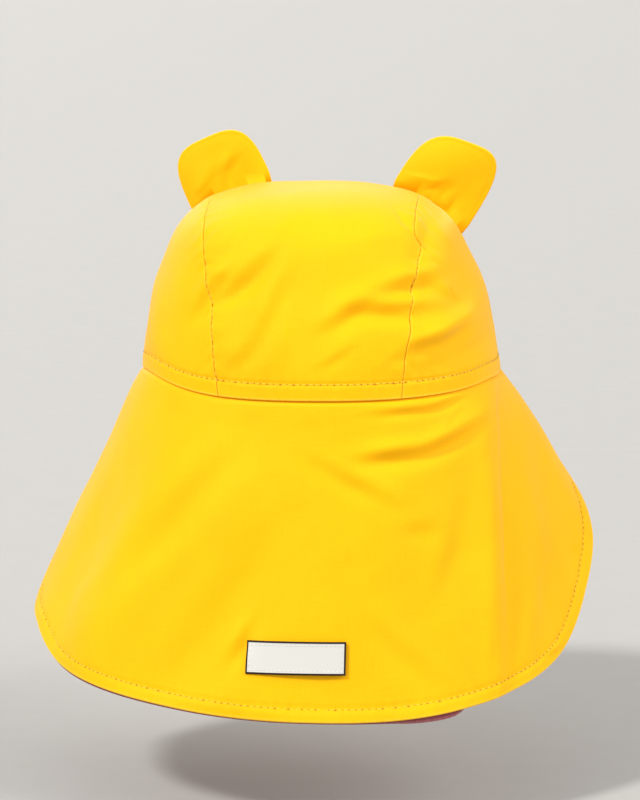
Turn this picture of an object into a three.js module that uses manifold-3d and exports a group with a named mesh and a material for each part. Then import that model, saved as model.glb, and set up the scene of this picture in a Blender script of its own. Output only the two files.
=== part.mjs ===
import * as THREE from "three";
import { mergeVertices } from "three/addons/utils/BufferGeometryUtils.js";
import Module from "manifold-3d";

// A child's sun hat: a three-panel crown with two padded ears, a wide neck flap and a front peak.
// Millimetres, +Z up, +Y the wearer's front. The origin is the centre of the head opening.

// Head opening and crown
const headWidth = 156;
const headDepth = 184;
const crownHeight = 83;
const headSquareness = 2.3;
const crownSquareness = 3;
const crownLean = -3;
const crownWall = 1.3;
const middleFoot = 76;
const middleTop = 91;
const middleCurve = 0.8;

// Neck flap and its lining
const flapDrop = 130;
const flapFlare = 50;
const flapReach = 118;
const flapWall = 1.2;
const flapTuck = 6;
const seamRoll = 4;
const liningWall = 0.9;
const liningPeek = 2.2;
const flapCurve = 0.92;

// Front peak
const peakReach = 52;
const peakRoot = 5;
const peakDroop = 17;
const peakWall = 2.4;
const peakEndTurn = 0.6;
const peakRoundness = 1.1;
const peakForward = 0.6;
const peakDroopCurve = 1.3;
const peakEndDroop = 0.65;

// Ears
const earWidth = 38.5;
const earRise = 29;
const earPad = 5.5;
const earHem = 1.6;
const earForward = 24;
const earSink = 0.37 * earWidth;
const earSquareness = 3.4;
const earFoot = 0.96;
const earCentre = 0.35;
const earDentSlope = 0.3;
const earDentOffset = 0.1;
const earDentBreadth = 0.18;

// Label
const labelWidth = 41;
const labelHeight = 13.6;
const labelWall = 0.8;
const labelAboveHem = 20;
const labelTurn = -1.5;
const labelOffset = -4;

// Clearance between neighbouring pieces
const gap = 0.3;

// Facets of each wall
const flapColumns = 44;
const flapRows = 12;
const archSteps = 36;
const middleSteps = 12;
const sideSteps = 8;
const peakColumns = 24;
const peakRows = 6;
const labelColumns = 10;
const labelRows = 4;
const formColumns = 84;
const formRows = 28;
const earArcSteps = 24;
const earRings = 5;

const halfWidth = headWidth / 2;
const halfDepth = headDepth / 2;
const quarterTurn = Math.PI / 2;
const radians = THREE.MathUtils.degToRad;
const lerp = THREE.MathUtils.lerp;
const smoothstep = THREE.MathUtils.smoothstep;

// How the crown narrows with height, as shares of the head opening
const crownRings = [
  { height: 0.0, width: 1.0, depth: 1.0 },
  { height: 0.22, width: 0.978, depth: 0.985 },
  { height: 0.43, width: 0.958, depth: 0.968 },
  { height: 0.65, width: 0.937, depth: 0.955 },
  { height: 0.82, width: 0.975, depth: 0.965 },
  { height: 1.0, width: 1.03, depth: 0.98 },
];

// The flap's hem by turn from the back centre, left of the photo negative
const flapHem = [
  { turn: -118, drop: 0.12, flare: 0.1, peek: 0.0 },
  { turn: -105, drop: 0.52, flare: 0.7, peek: 0.1 },
  { turn: -90, drop: 0.77, flare: 0.98, peek: 0.3 },
  { turn: -75, drop: 0.845, flare: 0.94, peek: 0.5 },
  { turn: -60, drop: 0.918, flare: 0.81, peek: 0.45 },
  { turn: -30, drop: 0.97, flare: 0.6, peek: 0.35 },
  { turn: 0, drop: 1.0, flare: 0.5, peek: 0.15 },
  { turn: 30, drop: 0.985, flare: 0.53, peek: 1.0 },
  { turn: 60, drop: 0.88, flare: 0.68, peek: 0.1 },
  { turn: 75, drop: 0.73, flare: 0.77, peek: 0.0 },
  { turn: 90, drop: 0.53, flare: 0.82, peek: 0.0 },
  { turn: 105, drop: 0.35, flare: 0.6, peek: 0.0 },
  { turn: 118, drop: 0.12, flare: 0.1, peek: 0.0 },
];

// Folds seen from behind. Across is a share of half the head width. Up, length, breadth and height
// are shares of the crown's height or, below the band, of the flap's drop. Lean is in degrees from
// upright, to the right.
const crownFolds = [
  { across: -0.48, up: 0.5, lean: 52, length: 0.31, breadth: 0.06, height: -0.02 },
  { across: -0.42, up: 0.32, lean: 48, length: 0.27, breadth: 0.06, height: -0.017 },
  { across: -0.2, up: 0.36, lean: 8, length: 0.48, breadth: 0.085, height: 0.016 },
  { across: 0.32, up: 0.34, lean: 70, length: 0.31, breadth: 0.07, height: -0.024 },
  { across: 0.36, up: 0.2, lean: 72, length: 0.27, breadth: 0.06, height: 0.017 },
  { across: 0.58, up: 0.72, lean: 12, length: 0.19, breadth: 0.06, height: -0.028 },
  { across: -0.84, up: 0.42, lean: -6, length: 0.29, breadth: 0.07, height: -0.018 },
  { across: 0.8, up: 0.42, lean: 10, length: 0.24, breadth: 0.085, height: -0.02 },
];
const flapFolds = [
  { across: -0.98, up: -0.56, lean: 28, length: 0.38, breadth: 0.11, height: 0.025 },
  { across: -1.24, up: -0.5, lean: 30, length: 0.32, breadth: 0.085, height: -0.018 },
  { across: -0.6, up: -0.82, lean: 40, length: 0.26, breadth: 0.1, height: -0.018 },
  { across: 0.36, up: -0.26, lean: 62, length: 0.25, breadth: 0.07, height: -0.028 },
  { across: 0.5, up: -0.14, lean: 60, length: 0.22, breadth: 0.055, height: 0.018 },
  { across: 0.96, up: -0.5, lean: -3, length: 0.46, breadth: 0.046, height: 0.02 },
  { across: 1.06, up: -0.5, lean: -2, length: 0.4, breadth: 0.038, height: -0.022 },
  { across: 0.62, up: -0.72, lean: 4, length: 0.23, breadth: 0.11, height: -0.015 },
];

// Where the band is drawn up off its level, by turn from the back centre. Lift and reach are
// shares of the crown's height.
const bandLifts = [
  { turn: -48, breadth: 26, lift: 0.031, reach: 0.39 },
  { turn: 52, breadth: 24, lift: 0.0145, reach: 0.39 },
];

// How each ear stands. Across is a share of half the head width, rise of the ears' rise, and dent
// of their padding. Lean and slant are in degrees.
const ears = [
  { name: "ear_left", across: -0.545, rise: 0.89, lean: -25, slant: -1, dent: -0.29 },
  { name: "ear_right", across: 0.605, rise: 1.08, lean: 32, slant: 12, dent: 0.33 },
];

const wasm = await Module();
wasm.setup();

// Reads one column of a table at a key, with a smooth curve through its rows
function readColumn(rows, key, column, at) {
  const last = rows.length - 1;
  let i = 0;
  while (i < last - 1 && rows[i + 1][key] < at) i += 1;
  const slope = (a, b) => (rows[b][column] - rows[a][column]) / (rows[b][key] - rows[a][key]);
  const span = rows[i + 1][key] - rows[i][key];
  const t = THREE.MathUtils.clamp((at - rows[i][key]) / span, 0, 1);
  const slopeIn = slope(Math.max(i - 1, 0), i + 1) * span;
  const slopeOut = slope(i, Math.min(i + 2, last)) * span;
  const fromStart = rows[i][column] * (1 + 2 * t) * (1 - t) ** 2 + slopeIn * t * (1 - t) ** 2;
  const fromEnd = rows[i + 1][column] * t * t * (3 - 2 * t) - slopeOut * t * t * (1 - t);
  return fromStart + fromEnd;
}

// Below zero inside the crown, zero on its outer face, above zero outside
function crownLevel(x, y, z) {
  const height = Math.max(z / crownHeight, 0);
  const leaned = x - crownLean * height;
  const width = halfWidth * readColumn(crownRings, "height", "width", height);
  const depth = halfDepth * readColumn(crownRings, "height", "depth", height);
  const ring = Math.abs(leaned / width) ** headSquareness + Math.abs(y / depth) ** headSquareness;
  return height ** crownSquareness + ring ** (crownSquareness / headSquareness) - 1;
}

// Walks a path that starts inside the crown and returns where it meets the outer face
function meetCrown(path) {
  let inside = 0;
  let outside = 2 * (halfWidth + halfDepth + crownHeight);
  for (let step = 0; step < 48; step += 1) {
    const middle = (inside + outside) / 2;
    const { x, y, z } = path(middle);
    if (crownLevel(x, y, z) > 0) outside = middle;
    else inside = middle;
  }
  return path(inside);
}

function castToCrown(direction) {
  const heading = direction.clone().normalize();
  return meetCrown((reach) => heading.clone().multiplyScalar(reach));
}

function crownNormal({ x, y, z }) {
  const step = 0.02;
  const across = crownLevel(x + step, y, z) - crownLevel(x - step, y, z);
  const along = crownLevel(x, y + step, z) - crownLevel(x, y - step, z);
  const up = crownLevel(x, y, z + step) - crownLevel(x, y, Math.max(z - step, 0));
  return new THREE.Vector3(across, along, z < step ? 0 : up).normalize();
}

// Sum of the soft ridges and dents of a table at a place seen from behind
function foldHeight(folds, x, z, heightUnit) {
  let total = 0;
  for (const fold of folds) {
    const right = (x - fold.across * halfWidth) / heightUnit;
    const up = z / heightUnit - fold.up;
    const lean = radians(fold.lean);
    const along = (right * Math.sin(lean) + up * Math.cos(lean)) / fold.length;
    const aside = (right * Math.cos(lean) - up * Math.sin(lean)) / fold.breadth;
    total += fold.height * heightUnit * Math.exp(-along * along - aside * aside);
  }
  return total;
}

// How far the cloth is drawn up at a point of the crown or the flap
function liftAt({ x, y, z }) {
  const turn = THREE.MathUtils.radToDeg(Math.atan2(x, -y));
  let total = 0;
  for (const row of bandLifts) {
    const aside = (turn - row.turn) / row.breadth;
    const above = z / (row.reach * crownHeight);
    total += row.lift * crownHeight * Math.exp(-aside * aside - above * above);
  }
  return total;
}

// Moves a point of the outer face by the crown's folds, then inwards by the inset
function crownSkin(point, inset) {
  const behind = smoothstep(-point.y / halfDepth, 0.1, 0.6);
  const aboveBand = smoothstep(point.z, flapTuck, 3 * flapTuck);
  const fold = foldHeight(crownFolds, point.x, point.z, crownHeight) * behind * aboveBand;
  const moved = point.clone().addScaledVector(crownNormal(point), fold - inset);
  moved.z += liftAt(point);
  return moved;
}

function middleHalfWidth(z) {
  return lerp(middleFoot, middleTop, (z / crownHeight) ** middleCurve) / 2;
}

// A point of the outer face on the arch from the back band (0) over the top to the front band (1)
function archPoint(across, arch, margin) {
  const angle = arch * Math.PI;
  return meetCrown((reach) => {
    const z = reach * Math.sin(angle);
    const x = across * (middleHalfWidth(Math.max(z, 0)) + margin) + (crownLean * z) / crownHeight;
    return new THREE.Vector3(x, -reach * Math.cos(angle), z);
  });
}

// Closes a grid of outer and inner points into one wall with its rims
function closedWall(columns, rows, place, wall) {
  const positions = [];
  const triangles = [];
  const layer = (columns + 1) * (rows + 1);
  for (const depth of [0, wall]) {
    for (let i = 0; i <= columns; i += 1) {
      for (let j = 0; j <= rows; j += 1) positions.push(...place(i / columns, j / rows, depth));
    }
  }
  const at = (i, j, side) => side * layer + i * (rows + 1) + j;
  const quad = (a, b, c, d) => triangles.push(a, b, c, a, c, d);
  for (let i = 0; i < columns; i += 1) {
    for (let j = 0; j < rows; j += 1) {
      quad(at(i, j, 0), at(i + 1, j, 0), at(i + 1, j + 1, 0), at(i, j + 1, 0));
      quad(at(i, j, 1), at(i, j + 1, 1), at(i + 1, j + 1, 1), at(i + 1, j, 1));
    }
    quad(at(i, 0, 0), at(i, 0, 1), at(i + 1, 0, 1), at(i + 1, 0, 0));
    quad(at(i, rows, 0), at(i + 1, rows, 0), at(i + 1, rows, 1), at(i, rows, 1));
  }
  for (let j = 0; j < rows; j += 1) {
    quad(at(0, j, 0), at(0, j + 1, 0), at(0, j + 1, 1), at(0, j, 1));
    quad(at(columns, j, 0), at(columns, j, 1), at(columns, j + 1, 1), at(columns, j + 1, 0));
  }
  return closedShape(positions, triangles);
}

// Merges equal points, drops flat triangles and turns the faces outwards
function closedShape(positions, triangles) {
  const loose = new THREE.BufferGeometry();
  loose.setAttribute("position", new THREE.Float32BufferAttribute(positions, 3));
  loose.setIndex(triangles);
  const shape = mergeVertices(loose, 1e-3);
  const point = (k) => new THREE.Vector3().fromBufferAttribute(shape.attributes.position, k);
  const kept = [];
  let volume = 0;
  for (let k = 0; k < shape.index.count; k += 3) {
    const [a, b, c] = [0, 1, 2].map((corner) => shape.index.getX(k + corner));
    if (a === b || b === c || a === c) continue;
    kept.push([a, b, c]);
    volume += point(a).cross(point(b)).dot(point(c));
  }
  shape.setIndex(kept.flatMap(([a, b, c]) => (volume > 0 ? [a, b, c] : [a, c, b])));
  shape.computeVertexNormals();
  return shape;
}

function toSolid(geometry) {
  return new wasm.Manifold(
    new wasm.Mesh({
      numProp: 3,
      vertProperties: new Float32Array(geometry.attributes.position.array),
      triVerts: new Uint32Array(geometry.index.array),
    }),
  );
}

function toGeometry(solid) {
  const mesh = solid.getMesh();
  const geometry = new THREE.BufferGeometry();
  geometry.setAttribute("position", new THREE.BufferAttribute(mesh.vertProperties, 3));
  geometry.setIndex(new THREE.BufferAttribute(mesh.triVerts, 1));
  geometry.computeVertexNormals();
  return geometry;
}

// The middle strip of the crown, from seam to seam
function middlePanel() {
  const place = (u, v, depth) => crownSkin(archPoint(2 * u - 1, v, -gap / 2), depth);
  return closedWall(middleSteps, archSteps, place, crownWall);
}

// A D-shaped side panel, between the seam's arch and the band
function sidePanel(side) {
  const foot = archPoint(side, 0, gap / 2);
  const footTurn = Math.atan2(Math.abs(foot.x), -foot.y);
  const place = (u, v, depth) => {
    const seam = archPoint(side, u, gap / 2);
    const turn = lerp(footTurn, Math.PI - footTurn, u);
    const ends = u === 0 || u === 1;
    const band = ends ? seam : castToCrown(new THREE.Vector3(side * Math.sin(turn), -Math.cos(turn), 0));
    return crownSkin(castToCrown(band.lerp(seam, v)), depth);
  };
  return closedWall(archSteps, sideSteps, place, crownWall);
}

// The head opening's edge at a turn from the back centre, and its level outward heading
function bandEdge(turn) {
  const heading = new THREE.Vector3(Math.sin(radians(turn)), -Math.cos(radians(turn)), 0);
  const edge = castToCrown(heading);
  return { edge, outward: crownNormal(edge) };
}

// A point of the flap's outer face: turn in degrees, fall in millimetres below the band
function flapPoint(turn, fall, inset) {
  const { edge, outward } = bandEdge(turn);
  if (fall < 0) {
    const above = crownSkin(castToCrown(new THREE.Vector3(edge.x, edge.y, -fall)), 0);
    return above.addScaledVector(outward, -crownWall - gap - inset);
  }
  const drop = flapDrop * readColumn(flapHem, "turn", "drop", turn);
  const flare = flapFlare * readColumn(flapHem, "turn", "flare", turn);
  const fallen = fall / drop;
  const tilt = Math.atan2(flare, drop) * smoothstep(fall, 0, seamRoll);
  const normal = outward.clone().multiplyScalar(Math.cos(tilt)).add(new THREE.Vector3(0, 0, Math.sin(tilt)));
  const flush = (crownWall + gap) * (smoothstep(fall, 0, seamRoll) - 1);
  const point = edge.clone().addScaledVector(outward, flare * fallen ** flapCurve + flush);
  point.z -= fall;
  const behind = smoothstep(Math.cos(radians(turn)), -0.3, 0.3) * smoothstep(fall, 0, 4 * seamRoll);
  const fold = foldHeight(flapFolds, point.x, point.z, flapDrop) * behind;
  const lift = liftAt(point);
  point.addScaledVector(normal, fold - inset);
  point.z += lift;
  return point;
}

function hemFall(turn) {
  return flapDrop * readColumn(flapHem, "turn", "drop", turn);
}

function neckFlap() {
  const place = (u, v, depth) => {
    const turn = lerp(-flapReach, flapReach, u);
    const below = (v * (flapRows + 1) - 1) / flapRows;
    const fall = v === 0 ? -flapTuck : hemFall(turn) * below;
    return flapPoint(turn, fall, depth);
  };
  return closedWall(flapColumns, flapRows + 1, place, flapWall);
}

// The lining follows the flap's own rows from the first one below the band
function flapLining() {
  const backing = flapWall + gap;
  const place = (u, v, depth) => {
    const turn = lerp(-flapReach, flapReach, u);
    const peek = v === 1 ? liningPeek * readColumn(flapHem, "turn", "peek", turn) : 0;
    const below = lerp(1 / flapRows, 1, v);
    return flapPoint(turn, hemFall(turn) * below + peek, backing + depth);
  };
  return closedWall(flapColumns, flapRows - 1, place, liningWall);
}

// The label lies on the flap above the hem, turned a little
function labelPatch() {
  const low = hemFall(0) - labelAboveHem - labelHeight / 2;
  const reach = Math.abs(flapPoint(0, low, 0).y);
  const turned = radians(labelTurn);
  const place = (u, v, depth) => {
    const right = (u - 0.5) * labelWidth;
    const down = (v - 0.5) * labelHeight;
    const across = right * Math.cos(turned) - down * Math.sin(turned) + labelOffset;
    const below = right * Math.sin(turned) + down * Math.cos(turned);
    const turn = THREE.MathUtils.radToDeg(Math.atan2(across, reach));
    return flapPoint(turn, low - below, depth - labelWall - gap);
  };
  return closedWall(labelColumns, labelRows, place, labelWall);
}

// The peak leaves the band in front, under the crown's edge
function frontPeak() {
  const span = 180 - flapReach - peakEndTurn;
  const place = (u, v, depth) => {
    const side = 2 * u - 1;
    const { edge, outward } = bandEdge(180 + side * span);
    const reach = peakRoot + (peakReach - peakRoot) * (1 - side * side) ** peakRoundness;
    const start = edge.addScaledVector(outward, -crownWall);
    const heading = outward.lerp(new THREE.Vector3(0, 1, 0), peakForward * side * side).normalize();
    const point = start.addScaledVector(heading, reach * v);
    const droopHere = peakDroop * (reach / peakReach) * lerp(1, peakEndDroop, side * side);
    point.z -= gap + depth + droopHere * v ** peakDroopCurve;
    return point;
  };
  return closedWall(peakColumns, peakRows, place, peakWall);
}

// The crown's outer form with the clearance around it, which shapes the foot of each ear
function crownForm() {
  const place = (u, v, depth) => {
    const turn = 2 * Math.PI * u;
    const rise = quarterTurn * v;
    const level = Math.cos(rise);
    const heading = new THREE.Vector3(Math.sin(turn) * level, -Math.cos(turn) * level, Math.sin(rise));
    return depth > 0 ? new THREE.Vector3() : crownSkin(castToCrown(heading), -gap);
  };
  return toSolid(closedWall(formColumns, formRows, place, crownWall));
}

// The ear's outline in its own upright plane: a squared arch over a straight foot
function earOutline(height) {
  const half = earWidth / 2;
  const squared = (value) => Math.sign(value) * Math.abs(value) ** (2 / earSquareness);
  const outline = [];
  for (let k = 0; k <= earArcSteps; k += 1) {
    const angle = (k / earArcSteps) * Math.PI;
    outline.push([half * squared(Math.cos(angle)), height * squared(Math.sin(angle))]);
  }
  outline.push([-half * earFoot, -earSink], [0, -earSink], [half * earFoot, -earSink]);
  return outline;
}

// Shrinks an outline to its centre in rings, front and back, with the padding swelling inwards
function paddedShape(outline, centre, shapePoint) {
  const positions = [];
  const triangles = [];
  const count = outline.length;
  for (const face of [1, -1]) {
    for (let ring = 0; ring <= earRings; ring += 1) {
      const share = 1 - ring / earRings;
      const half = lerp(earHem, earPad, Math.sqrt(1 - share ** 3)) / 2;
      for (const [right, up] of outline) {
        positions.push(...shapePoint(right * share, centre + (up - centre) * share, face * half));
      }
    }
  }
  const at = (side, ring, k) => (side * (earRings + 1) + ring) * count + (k % count);
  const quad = (a, b, c, d) => triangles.push(a, b, c, a, c, d);
  for (let k = 0; k < count; k += 1) {
    for (let ring = 0; ring < earRings; ring += 1) {
      quad(at(0, ring, k), at(0, ring, k + 1), at(0, ring + 1, k + 1), at(0, ring + 1, k));
      quad(at(1, ring, k), at(1, ring + 1, k), at(1, ring + 1, k + 1), at(1, ring, k + 1));
    }
    quad(at(0, 0, k), at(1, 0, k), at(1, 0, k + 1), at(0, 0, k + 1));
  }
  return closedShape(positions, triangles);
}

// A rounded, lightly stuffed ear, leaned to its side and cut to the crown
function earShape({ across, rise, lean, slant, dent }, form) {
  const height = earRise * rise;
  const shapePoint = (x, z, thick) => {
    const aside = (x - earDentSlope * z + earDentOffset * earWidth) / (earDentBreadth * earWidth);
    const bend = dent * earPad * Math.exp(-aside * aside);
    const slanted = z + Math.tan(radians(slant)) * x * Math.max(z / height, 0);
    return [x, thick + bend, slanted];
  };
  const upright = paddedShape(earOutline(height), height * earCentre, shapePoint);
  const foot = meetCrown((reach) => new THREE.Vector3(across * halfWidth, earForward, reach));
  upright.applyMatrix4(new THREE.Matrix4().makeRotationY(radians(lean)));
  upright.translate(foot.x, foot.y, foot.z);
  return toGeometry(toSolid(upright).subtract(form));
}

const clothYellow = 0xf7c81e;
const cloth = { roughness: 0.86, metalness: 0 };
const group = new THREE.Group();

function addPiece(name, geometry, color) {
  const piece = new THREE.Mesh(geometry, new THREE.MeshStandardMaterial({ color, ...cloth }));
  piece.name = name;
  group.add(piece);
}

const form = crownForm();
addPiece("crown_center", middlePanel(), clothYellow);
addPiece("crown_left", sidePanel(-1), clothYellow);
addPiece("crown_right", sidePanel(1), clothYellow);
addPiece("neck_flap", neckFlap(), clothYellow);
addPiece("flap_lining", flapLining(), 0x8f4a4c);
addPiece("label_patch", labelPatch(), 0xefeee6);
addPiece("peak", frontPeak(), clothYellow);
for (const ear of ears) addPiece(ear.name, earShape(ear, form), clothYellow);

export default group;
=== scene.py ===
import math

import bmesh
import bpy
import numpy as np
from mathutils import Matrix, Vector


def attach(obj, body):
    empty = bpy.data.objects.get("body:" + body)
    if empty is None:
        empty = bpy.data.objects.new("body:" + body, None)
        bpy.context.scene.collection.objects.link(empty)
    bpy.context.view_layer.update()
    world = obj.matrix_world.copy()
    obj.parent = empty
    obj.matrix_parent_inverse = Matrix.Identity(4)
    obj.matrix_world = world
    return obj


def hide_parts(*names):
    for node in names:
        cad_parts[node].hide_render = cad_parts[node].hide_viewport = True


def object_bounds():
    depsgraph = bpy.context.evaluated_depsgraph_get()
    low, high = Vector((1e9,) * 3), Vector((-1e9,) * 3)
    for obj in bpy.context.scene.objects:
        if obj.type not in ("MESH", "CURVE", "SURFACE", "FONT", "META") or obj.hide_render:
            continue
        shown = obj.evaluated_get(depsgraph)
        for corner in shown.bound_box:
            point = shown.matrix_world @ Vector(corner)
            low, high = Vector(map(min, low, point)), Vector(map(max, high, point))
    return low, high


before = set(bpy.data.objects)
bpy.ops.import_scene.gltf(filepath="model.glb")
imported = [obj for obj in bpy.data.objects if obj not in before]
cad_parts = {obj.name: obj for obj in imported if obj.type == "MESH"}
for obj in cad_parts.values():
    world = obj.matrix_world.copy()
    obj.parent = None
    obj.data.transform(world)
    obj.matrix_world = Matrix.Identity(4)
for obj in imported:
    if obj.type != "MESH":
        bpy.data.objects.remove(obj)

# A child's sun hat in yellow cloth: three-panel crown, padded ears, neck flap, lining, label and peak.
# Metres, +Z up, +Y the wearer's front. The origin is the centre of the head opening.

cad_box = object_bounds()

# Head opening and crown
HEAD_WIDTH = 0.156
HEAD_DEPTH = 0.184
CROWN_HEIGHT = 0.083
HEAD_SQUARENESS = 2.3
CROWN_SQUARENESS = 3
CROWN_LEAN = -0.003
CROWN_WALL = 0.0013
MIDDLE_FOOT = 0.076
MIDDLE_TOP = 0.091
MIDDLE_CURVE = 0.8
BAND_HEIGHT = 0.0068

# Neck flap and its lining
FLAP_DROP = 0.130
FLAP_FLARE = 0.050
FLAP_REACH = 118
FLAP_WALL = 0.0012
FLAP_TUCK = 0.006
FLAP_CURVE = 0.92
SEAM_ROLL = 0.004
HEM_WIDTH = 0.0055
LINING_WALL = 0.0009
LINING_PEEK = 0.0022
LINING_START = 0.0108

# Front peak
PEAK_REACH = 0.052
PEAK_ROOT = 0.005
PEAK_DROOP = 0.017
PEAK_WALL = 0.0024
PEAK_END_TURN = 0.6
PEAK_ROUNDNESS = 1.1
PEAK_FORWARD = 0.6
PEAK_DROOP_CURVE = 1.3
PEAK_END_DROOP = 0.65
PEAK_STITCH_ROWS = 4
PEAK_STITCH_START = 0.004
PEAK_STITCH_STEP = 0.0085

# Ears
EAR_WIDTH = 0.0385
EAR_RISE = 0.029
EAR_PAD = 0.0055
EAR_HEM = 0.0016
EAR_FORWARD = 0.024
EAR_SINK = 0.37 * EAR_WIDTH
EAR_SQUARENESS = 3.4
EAR_CENTRE = 0.35
EAR_SEAT = 0.0004
EAR_WAVE = 0.0009
SETTLE_FRAMES = 14
SETTLE_FOOT = 0.002
SETTLE_CAP = 0.0011

# Label
LABEL_WIDTH = 0.0424
LABEL_HEIGHT = 0.0136
LABEL_WALL = 0.0008
LABEL_ABOVE_HEM = 0.0193
LABEL_TURN = -0.4
LABEL_OFFSET = -0.004
LABEL_EDGE = 0.0008
LABEL_STITCH_INSET = 0.0017
LABEL_STITCH_PITCH = 0.0018
LABEL_STITCH_LENGTH = 0.0013
LABEL_THREAD = 0.00026

# Clearance, thread and weave
GAP = 0.0003
SEAM_SLIT = 0.00014
SEAM_DEPTH = 0.0004
STITCH_PITCH = 0.0028
STITCH_LENGTH = 0.0021
THREAD = 0.0004
THREAD_LIFT = 0.00008
# Size of the dark beads of painted shade that stand in for the needle holes
HOLE_SHADE_SIZE = 0.0006
WEAVE_PITCH = 0.00046
FINE_CELL = 0.0007
WIDE_CELL = 0.0018

# Mesh steps inwards from a wall's edge, where the even steps begin, and how far edges are rounded
EDGE_STEPS = (0.0, 0.0002, 0.0005, 0.0009)
EVEN_START = 0.0014
SEAM_ROUND = 0.00045
BAND_ROUND = 0.0004
INNER_ROUND = 0.0005
HEM_ROUND = 0.0006
LINING_ROUND = 0.0003
LABEL_ROUND = 0.0003
PEAK_ROUND = 0.0011

# Seeds of the cloth's random unevenness
FLAP_SEED = 31
LINING_SEED = 51
PEAK_SEED = 71
EAR_SEED = 90

HALF_WIDTH = HEAD_WIDTH / 2
HALF_DEPTH = HEAD_DEPTH / 2
MEAN_RADIUS = (HALF_WIDTH + HALF_DEPTH) / 2

# The flap's flat pattern, a fan cut round the head opening, and the share of the flare that it opens by
FAN_OPENING = 0.7
FAN_TOP = np.radians(2 * FLAP_REACH) * MEAN_RADIUS
FAN_SPREAD = np.radians(2 * FLAP_REACH) * FLAP_FLARE * FAN_OPENING / FLAP_DROP
FAN_RADIUS = FAN_TOP / FAN_SPREAD


def table(columns, *rows):
    """A short table with named columns, one array for each."""
    return {name: np.array(values) for name, values in zip(columns.split(), zip(*rows))}


# How the crown narrows with height, as shares of the head opening
CROWN_RINGS = table(
    "height width depth",
    (0.0, 1.0, 1.0),
    (0.22, 0.978, 0.985),
    (0.43, 0.958, 0.968),
    (0.65, 0.937, 0.955),
    (0.82, 0.975, 0.965),
    (1.0, 1.03, 0.98),
)

# The flap's hem by turn from the back centre, in degrees
FLAP_HEM = table(
    "turn drop flare",
    (-118, 0.12, 0.1),
    (-105, 0.52, 0.7),
    (-90, 0.77, 0.98),
    (-75, 0.845, 0.94),
    (-60, 0.918, 0.81),
    (-30, 0.97, 0.6),
    (0, 1.0, 0.5),
    (30, 0.985, 0.53),
    (60, 0.88, 0.68),
    (75, 0.73, 0.77),
    (90, 0.53, 0.82),
    (105, 0.35, 0.6),
    (118, 0.12, 0.1),
)

# How far the lining shows below the flap's hem, as a share of its greatest peek
LINING_SHOWS = table(
    "turn peek",
    (-118, 0.0),
    (-105, 0.1),
    (-90, 0.3),
    (-75, 0.55),
    (-60, 0.5),
    (-30, 0.3),
    (0, 0.2),
    (16, 0.35),
    (24, 0.95),
    (31, 0.9),
    (34, -0.4),
    (60, -0.5),
    (118, -0.2),
)

FOLD_COLUMNS = "across up lean length breadth height"

# Folds seen from behind. Across is a share of half the head width. Up, length, breadth and height
# are shares of the crown's height or of the flap's drop. Lean is in degrees from upright.
CROWN_FOLDS = table(
    FOLD_COLUMNS,
    (-0.48, 0.5, 52, 0.31, 0.06, -0.02),
    (-0.2, 0.36, 8, 0.48, 0.085, 0.016),
    (0.47, 0.86, -38, 0.08, 0.012, -0.009),
    (0.58, 0.72, 12, 0.15, 0.06, -0.018),
    (0.535, 0.88, -15, 0.08, 0.04, 0.01),
    (-0.84, 0.42, -6, 0.29, 0.07, -0.012),
    (0.8, 0.42, 10, 0.24, 0.085, -0.02),
)
FLAP_FOLDS = table(
    FOLD_COLUMNS,
    (-0.98, -0.56, 28, 0.38, 0.11, 0.025),
    (-1.24, -0.5, 30, 0.32, 0.085, -0.018),
    (-0.6, -0.82, 40, 0.26, 0.1, -0.018),
    (0.96, -0.5, -3, 0.46, 0.046, 0.02),
    (1.06, -0.5, -2, 0.4, 0.038, -0.022),
    (0.62, -0.72, 4, 0.23, 0.11, -0.015),
)

# Tucks, where the cloth steps in beside a ridge. Columns are as for the folds, and the height is that
# of the ridge on the left or upper side of a tuck.
CROWN_TUCKS = table(
    FOLD_COLUMNS,
    (-0.5, 0.585, 42, 0.095, 0.036, 0.018),
    (-0.43, 0.56, 53, 0.12, 0.055, 0.017),
    (-0.27, 0.67, 47, 0.13, 0.058, 0.014),
    (-0.51, 0.71, 47, 0.1, 0.038, 0.006),
    (-0.6, 0.48, 24, 0.11, 0.035, 0.0055),
    (-0.21, 0.47, 22, 0.16, 0.065, 0.016),
    (-0.34, 0.24, 34, 0.18, 0.062, 0.0095),
    (-0.15, 0.29, 3, 0.15, 0.022, -0.0026),
    (0.5, 0.565, 80, 0.15, 0.058, 0.023),
    (0.68, 0.53, -55, 0.1, 0.04, -0.008),
    (0.19, 0.43, 58, 0.13, 0.06, 0.017),
    (0.42, 0.455, -86, 0.19, 0.058, -0.0235),
    (0.13, 0.21, 56, 0.11, 0.037, 0.0045),
    (0.4, 0.17, 53, 0.08, 0.035, 0.0022),
    (0.61, 0.27, 79, 0.1, 0.05, 0.0165),
    (0.76, 0.31, 68, 0.12, 0.06, 0.0175),
    (0.82, 0.24, 72, 0.22, 0.13, 0.026),
    (0.63, 0.72, -54, 0.07, 0.013, 0.0023),
    (0.63, 0.67, -66, 0.05, 0.02, -0.0027),
    (0.36, 0.76, 85, 0.15, 0.055, 0.0045),
    (-0.65, 0.1, -83, 0.13, 0.016, -0.0014),
    (0.85, 0.37, -15, 0.16, 0.042, 0.0024),
    (-0.83, 0.26, -27, 0.06, 0.026, 0.0015),
    (-0.29, 0.84, 80, 0.15, 0.047, -0.0016),
    (-0.05, 0.65, 90, 0.5, 0.22, 0.022),
    (0.62, 0.83, -42, 0.2, 0.02, -0.0036),
    (0.71, 0.8, -44, 0.2, 0.026, 0.0042),
)
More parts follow.
